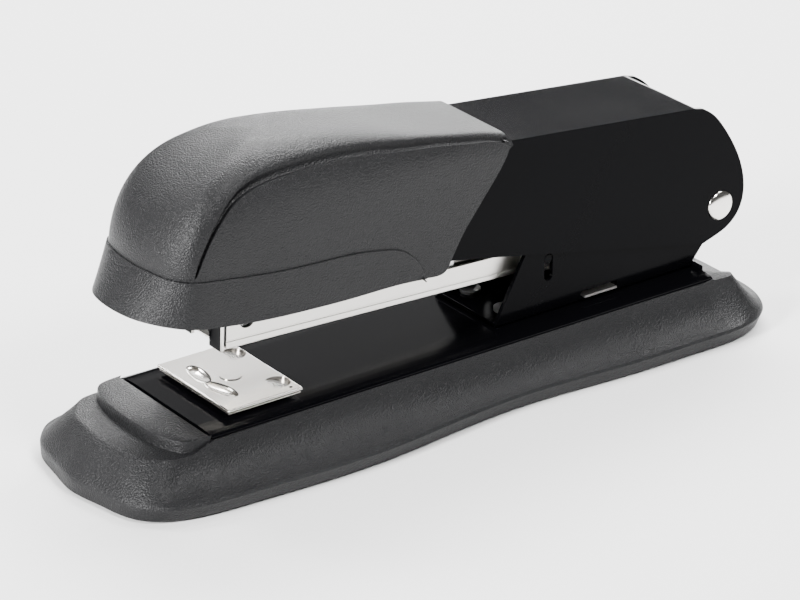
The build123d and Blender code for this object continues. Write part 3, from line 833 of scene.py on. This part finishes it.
def make_anvil():
    """A plate folded under itself, with two clinching pockets in front and two pinning pockets behind."""
    anvil = block("anvil", (-55.4, -13.3, 14.62), (-36.9, 13.3, 15.4))
    under = block("under", (-55.0, -12.9, 14.1), (-37.3, 12.9, 14.42))
    for layer in (anvil, under):
        ease_edges(layer, 1.1, lambda edge: along(edge, 2), 5)
        ease_edges(layer, 0.14, lambda edge: abs(edge.verts[0].co.z - edge.verts[1].co.z) < 1e-4, 3)
    core = block("core", (-53, -11, 14.3), (-39, 11, 14.8))
    join(anvil, core, under, rod("boss", (ANVIL_X, 0, 13.8), 5, 0.8))
    for side in (-1, 1):
        trough = start("trough", bpy.ops.mesh.primitive_uv_sphere_add, segments=64, ring_count=32, radius=1,
                       location=(-51.0, side * 4.2, 15.65))
        trough.scale = (2.0, 4.9, 0.95)
        trough.rotation_euler = (0, 0, side * radians(-9))
        cut(anvil, bake_place(trough))
        end = block("end", (-51.1, side * 7.2 - 0.9, 14.75), (-49.3, side * 7.2 + 0.9, 16))
        cut(anvil, end)
        fan = rod("fan", (-39.9, side * 8.2, 15.55), 2.7, 0.9, sides=64)
        middle = Vector((-39.9, side * 8.2, 15.4))
        fan.data.transform(Matrix.Translation(middle) @ Matrix.Rotation(radians(9), 4, "Y")
                           @ Matrix.Translation(-middle))
        cut(anvil, fan)
        cut(anvil, rod("dot", (-39.0, side * 11.7, 15), 0.42, 3, sides=20))
    cut(anvil, rod("pivot hole", (ANVIL_X, 0, 14), PIVOT_HOLE, 6))
    return smooth(anvil, 25)


def make_magazine():
    """The channel: a pressed crease runs along each wall and a round hole is near the nose."""
    hx, hz = HINGE[0], HINGE[2]
    ear = [(hx + 5 * cos(pi * n / 24), hz + 5 * sin(pi * n / 24)) for n in range(-6, 19)]
    outline = [(-51.5, 20.65), (70, 20.65), (77.5, 22.9)] + ear
    outline += [(66, 28), (60, 25.9), (-33, 25.9), (-39, 31.4), (-51.5, 31.4)]
    channel = side_prism("magazine", outline, -7.4, 7.4)
    ease_edges(channel, 0.7, lambda edge: along(edge, 0) and edge.verts[0].co.z < 21, 4)
    for side in (-1, 1):
        score = block("score", (-60, side * 7.45 - 0.16, 22.0), (66, side * 7.45 + 0.16, 22.35))
        score.data.transform(Matrix.Rotation(radians(0.35), 4, "Y"))
        cut(channel, score)
    cut(channel, block("hollow", (-60, -6.8, 21.25), (90, 6.8, 60)))
    cut(channel, rod("pin hole", (hx, 0, hz), PIN_HOLE, 40, "Y"))
    cut(channel, rod("hole", (-46.6, 0, 26.4), 1.9, 40, "Y"))
    ease_edges(channel, 0.08, segments=1)
    return smooth(channel, 30)


def make_nose_plate():
    """The black plate across the magazine's nose, with a notch below and a wing on each side."""
    notch = [(7.4, 20.6), (7.4, 31.4), (-7.4, 31.4), (-7.4, 20.6), (-3.3, 20.6), (-3.3, 23.2), (-2.7, 23.8),
             (2.7, 23.8), (3.3, 23.2), (3.3, 20.6)]
    plate = end_prism("nose_plate_pressing", notch, -53.0, -52.2)
    for side in (-1, 1):
        low, high = sorted((side * 7.35, side * 8.15))
        join(plate, block("wing", (-53.0, low, 28.9), (-38.6, high, 31.4)))
    cut(plate, rod("rivet hole", (-42.5, 0, 30.1), 0.8, 40, "Y", 24))
    cut(plate, block("inside", (-52.2, -7.41, 20), (-38, 7.41, 40)))
    ease_edges(plate, 0.1, segments=2)
    return smooth(plate, 30)


def bare_edges(plate):
    """Leave the nose plate's sheared side edges and the lips of its notch bright."""
    plate.data.materials.append(finish("Magazine zinc"))
    front = min(vertex.co.x for vertex in plate.data.vertices)
    for polygon in plate.data.polygons:
        if abs(polygon.normal.x) < 0.8 and polygon.center.x < front + 1.3 * MM:
            polygon.material_index = 1


def make_bracket():
    """The hinge bracket: a folded U with a slanted front, a slot on each side and a window at each foot."""
    hx, hz = HINGE[0], HINGE[2]
    outline = [(14.0, 13.34), (14.4, 14.8), (21.4, 27.9), (23.8, 31.5), (66, 31.5)]
    outline += [(hx + 6 * cos(pi * n / 24), hz + 6 * sin(pi * n / 24)) for n in range(18, -11, -1)]
    outline += [(71, 18.4), (67.9, 14.6), (67.9, 13.34)]
    bracket = side_prism("bracket", outline, -10.95, 10.95)
    ease_edges(bracket, 0.9, lambda edge: along(edge, 0) and edge.verts[0].co.z < 13.5, 5)
    cut(bracket, block("hollow", (0, -9.95, 14.4), (100, 9.95, 60)))
    cut(bracket, rod("pin hole", (hx, 0, hz), 2.01, 40, "Y"))
    slot = block("slot", (26.9, -20, 22.0), (29.1, 20, 26.0))
    join(slot, rod("slot end", (28, 0, 22.0), 1.1, 40, "Y"), rod("slot end", (28, 0, 26.0), 1.1, 40, "Y"))
    cut(bracket, slot)
    for side in (-1, 1):
        cut(bracket, block("window", (37, side * 10.95 - 1.1, 14.4), (47, side * 10.95 + 1.1, 15.9)))
    ease_edges(bracket, sizes().burr, segments=2)
    return smooth(bracket, 30)


# ------------------------------------------------------------------ small steel pieces

LEAF_Z = 14.42
ROD_Z = 23.7

def make_coil(name, mean, wire, turns, low, high, place):
    """A coil spring wound between two levels: place(a, b, level) gives a point's position."""
    steps = 18 * turns

    def corner(i, j):
        turn, around = 2 * pi * turns * i / steps, 2 * pi * j / 8
        out = mean + wire * cos(around)
        level = low + wire + (high - low - 2 * wire) * i / steps + wire * sin(around)
        return place(out * cos(turn), out * sin(turn), level)

    coil = tidy_mesh(sheet_from_grid(name, steps + 1, 9, corner), 0.01)
    choose_all(coil)
    bpy.ops.mesh.fill_holes(sides=0)
    leave()
    return smooth(coil, 50, flat=False)


def make_lift_leaf():
    """The leaf under the magazine: its flat feet, and the tongue that rises from them."""
    z = LEAF_Z
    feet = block("lift_leaf_feet", (36, -8, z), (57, 8, z + 0.5))
    join(feet, block("toes", (37.6, -11.6, z), (46.4, 11.6, z + 0.5)))
    cut(feet, block("opening", (30, -4.6, z - 1), (52, 4.6, z + 1)))
    rise = [(56.5, z + 0.52), (53, z + 0.52), (27, z + 6.6), (24.5, z + 6.5), (24.5, z + 7.0),
            (27, z + 7.1), (53.2, z + 1.0), (56.5, z + 1.0)]
    tongue = side_prism("lift_leaf_tongue", rise, -4.2, 4.2)
    for piece in (feet, tongue):
        ease_edges(piece, 0.06, segments=1)
        smooth(piece, 30)
    return feet, tongue


def make_pin():
    """The hinge pin with a domed head at each end."""
    hx, hz = HINGE[0], HINGE[2]
    pin = rod("pin", (hx, 0, hz), 2.0, 24.4, "Y")
    for side in (-1, 1):
        head = start("head", bpy.ops.mesh.primitive_uv_sphere_add, segments=64, ring_count=32, radius=1,
                     location=(hx, side * 12.15, hz), rotation=(pi / 2, 0, 0))
        head.scale = (3.4, 3.4, 1.02)
        bake_place(head)
        low, high = sorted((side * 12.13, side * 5))
        cut(head, block("half", (hx - 5, low, hz - 5), (hx + 5, high, hz + 5)))
        join(pin, head)
    return smooth(pin, 40)


def make_staples():
    """A glued strip: one staple's saddle, repeated along the track."""
    wire, first, last = 0.5, -51.4, -3.0
    outer = [(6.45, 21.4), (6.45, 27.0), (6.3, 27.2)]
    inner = [(5.97, 26.72), (5.97, 21.4)]
    ring = outer + [(-a, b) for a, b in reversed(outer)]
    ring += [(-a, b) for a, b in reversed(inner)] + inner
    one = end_prism("staples", ring, first, first + wire)
    ease_edges(one, 0.09, lambda edge: not along(edge, 0) and edge.calc_face_angle(0) > radians(60), 1)
    count = int((last - first) / (wire + 0.01))
    modify(one, "ARRAY", count=count, use_relative_offset=False, use_constant_offset=True,
           constant_offset_displace=(wire + 0.01, 0, 0))
    return smooth(one, 30)


# ------------------------------------------------------------------ operators

class STAPLER_OT_shoe(bpy.types.Operator):
    """Mould the black shoe with its band, hollow flanks, ledge and pad"""
    bl_idname = "stapler.shoe"
    bl_label = "Shoe"

    def execute(self, context):
        hand_over(settle(make_shoe()), "base", "shoe_plastic", finish("Shoe plastic"), "base_shoe")
        return {"FINISHED"}


class STAPLER_OT_cap(bpy.types.Operator):
    """Mould the cap with its crown, side panels, groove and skirt"""
    bl_idname = "stapler.cap"
    bl_label = "Cap"

    def execute(self, context):
        hand_over(settle(make_cap(), ARM_TILT), "arm", "cap_plastic", finish("Cap plastic"), "cap_shell")
        return {"FINISHED"}


class STAPLER_OT_arm(bpy.types.Operator):
    """Press the black arm channel"""
    bl_idname = "stapler.arm"
    bl_label = "Arm"

    def execute(self, context):
        channel = settle(make_arm(), ARM_TILT)
        hand_over(channel, "arm", "black_lacquer", finish("Black lacquer"), "arm_channel")
        return {"FINISHED"}


class STAPLER_OT_base_plate(bpy.types.Operator):
    """Press the black base plate and its hinge bracket"""
    bl_idname = "stapler.base_plate"
    bl_label = "Base plate and bracket"

    def execute(self, context):
        lacquer = finish("Black lacquer")
        hand_over(settle(make_plate()), "base", "black_lacquer", lacquer, "base_plate")
        hand_over(settle(make_bracket()), "base", "black_lacquer", lacquer, "hinge_bracket")
        hand_over(settle(make_pin()), "base", "bright_nickel", finish("Bright nickel"), "hinge_pin")
        return {"FINISHED"}


class STAPLER_OT_anvil(bpy.types.Operator):
    """Press the bright anvil with its clinching and pinning pockets"""
    bl_idname = "stapler.anvil"
    bl_label = "Anvil"

    def execute(self, context):
        hand_over(settle(make_anvil()), "anvil", "bright_nickel", finish("Bright nickel"), "anvil_plate")
        return {"FINISHED"}


class STAPLER_OT_magazine(bpy.types.Operator):
    """Press the magazine channel and its black nose plate, and load the staples"""
    bl_idname = "stapler.magazine"
    bl_label = "Magazine"

    def execute(self, context):
        channel = settle(make_magazine(), MAGAZINE_TILT)
        hand_over(channel, "magazine", "magazine_zinc", finish("Magazine zinc"), "magazine_channel")
        nose = settle(make_nose_plate(), MAGAZINE_TILT)
        hand_over(nose, "magazine", "black_lacquer", finish("Black lacquer"), "nose_plate")
        bare_edges(nose)
        staples = settle(make_staples(), MAGAZINE_TILT)
        hand_over(staples, "magazine", "staple_wire", finish("Staple wire"), "staple_strip")
        return {"FINISHED"}


class STAPLER_OT_springs(bpy.types.Operator):
    """Wind the coil springs and press the lifting leaf"""
    bl_idname = "stapler.springs"
    bl_label = "Springs"

    def execute(self, context):
        steel = finish("Spring steel")
        front, rear = 5.04, 66.46
        coil = make_coil("pusher_coil", 1.35, 0.25, 28, front, rear,
                         lambda a, b, level: (level, a, ROD_Z + b))
        hand_over(settle(coil, MAGAZINE_TILT), "magazine", "spring_steel", steel, "pusher_spring")
        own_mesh(coil)
        foot, top = 3.43, 12.27
        coil = make_coil("anvil_coil", 2.65, 0.34, 5, foot, top, lambda a, b, level: (a + ANVIL_X, b, level))
        hand_over(settle(coil), "base", "spring_steel", steel, "anvil_spring")
        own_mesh(coil)
        feet, tongue = make_lift_leaf()
        hand_over(settle(feet), "base", "spring_steel", steel, "magazine_lift_spring")
        hand_over(settle(tongue), "base", "spring_steel", steel)
        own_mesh(tongue)
        return {"FINISHED"}


class STAPLER_OT_plain_pieces(bpy.types.Operator):
    """Finish the small pieces that keep their mechanical shape"""
    bl_idname = "stapler.plain_pieces"
    bl_label = "Small pieces"

    def execute(self, context):
        for part in frame["record"]["subparts"]:
            node = frame["nodes"][part["node"]]
            node.data.materials.clear()
            node.data.materials.append(finish(part["material_slot"].replace("_", " ").capitalize()))
            for polygon in node.data.polygons:
                polygon.material_index = 0
        return {"FINISHED"}


# name, place, point aimed at, size and watts of each soft light
LIGHTS = (
    ("overhead", (0.40, -0.06, 0.64), (0, 0, 0.03), (0.34, 0.26), 4),
    ("behind", (0.31, 0.45, 0.64), (0, 0, 0.05), (0.5, 0.3), 16),
    ("strip", (0.42, 0.12, 0.66), (0, 0, 0.03), (0.03, 0.4), 3),
    ("left", (-0.80, -0.10, 0.38), (-0.06, 0, 0.03), (0.16, 0.20), 20),
    ("left behind", (-0.24, 0.58, 0.62), (-0.06, 0, 0.05), (0.2, 0.2), 5),
    ("front top", (0.04, -0.56, 0.66), (-0.03, 0, 0.03), (0.2, 0.2), 9),
    ("backdrop", (0.72, 1.0, 0.56), (0, 0, 0.03), (1.4, 0.30), 2.2),
    ("low card", (0.92, 0.92, 0.17), (0, 0, 0.04), (0.7, 0.11), 6.5),
)


def soft_box(name, place, aim, size, watts):
    light = bpy.data.lights.new(name, "AREA")
    light.shape = "RECTANGLE"
    light.size, light.size_y = size
    light.energy = watts
    lamp = bpy.data.objects.new(name, light)
    lamp.location = place
    lamp.rotation_euler = (Vector(aim) - Vector(place)).to_track_quat("-Z", "Y").to_euler()
    bpy.context.scene.collection.objects.link(lamp)


class STAPLER_OT_stage(bpy.types.Operator):
    """Lay the pale floor, hang the soft lights and place the camera"""
    bl_idname = "stapler.stage"
    bl_label = "Stage"

    def execute(self, context):
        floor = start("floor", bpy.ops.mesh.primitive_plane_add, size=8)
        material, _, shader, _ = new_finish("Pale floor")
        shader.inputs["Base Color"].default_value = (*colours().floor, 1)
        shader.inputs["Roughness"].default_value = 0.9
        floor.data.materials.append(material)
        world = bpy.data.worlds.new("Studio")
        world.use_nodes = True
        world.node_tree.nodes["Background"].inputs["Color"].default_value = (1, 1, 1, 1)
        world.node_tree.nodes["Background"].inputs["Strength"].default_value = 0.09
        context.scene.world = world
        for light in LIGHTS:
            soft_box(*light)
        turn, rise, away = radians(-36.03), radians(24.9), 0.814
        target = Vector((-0.003, 0, 0.0207))
        back = Vector((sin(turn) * cos(rise), -cos(turn) * cos(rise), sin(rise)))
        lens = bpy.data.cameras.new("camera")
        lens.lens = 174.2
        lens.sensor_width = 36
        lens.clip_start = 0.05
        camera = bpy.data.objects.new("camera", lens)
        camera.location = target + back * away
        camera.rotation_euler = (-back).to_track_quat("-Z", "Y").to_euler()
        context.scene.collection.objects.link(camera)
        context.scene.camera = camera
        return {"FINISHED"}


class STAPLER_PT_panel(bpy.types.Panel):
    """Lists the stapler's operators in the sidebar"""
    bl_idname = "STAPLER_PT_panel"
    bl_label = "Stapler"
    bl_space_type = "VIEW_3D"
    bl_region_type = "UI"
    bl_category = "Stapler"

    def draw(self, context):
        for operator in OPERATORS:
            self.layout.operator(operator.bl_idname)


OPERATORS = (STAPLER_OT_plain_pieces, STAPLER_OT_shoe, STAPLER_OT_base_plate, STAPLER_OT_anvil,
             STAPLER_OT_magazine, STAPLER_OT_arm, STAPLER_OT_cap, STAPLER_OT_springs, STAPLER_OT_stage)
CLASSES = (StaplerSizes, StaplerColours, *OPERATORS, STAPLER_PT_panel)


def register():
    for item in CLASSES:
        bpy.utils.register_class(item)
    bpy.types.Scene.stapler_sizes = bpy.props.PointerProperty(type=StaplerSizes)
    bpy.types.Scene.stapler_colours = bpy.props.PointerProperty(type=StaplerColours)


def unregister():
    del bpy.types.Scene.stapler_colours
    del bpy.types.Scene.stapler_sizes
    for item in reversed(CLASSES):
        bpy.utils.unregister_class(item)


def main():
    register()
    bpy.ops.stapler.plain_pieces()
    bpy.ops.stapler.shoe()
    bpy.ops.stapler.base_plate()
    bpy.ops.stapler.anvil()
    bpy.ops.stapler.magazine()
    bpy.ops.stapler.arm()
    bpy.ops.stapler.cap()
    bpy.ops.stapler.springs()
    bpy.ops.stapler.stage()


if __name__ == "__main__":
    main()
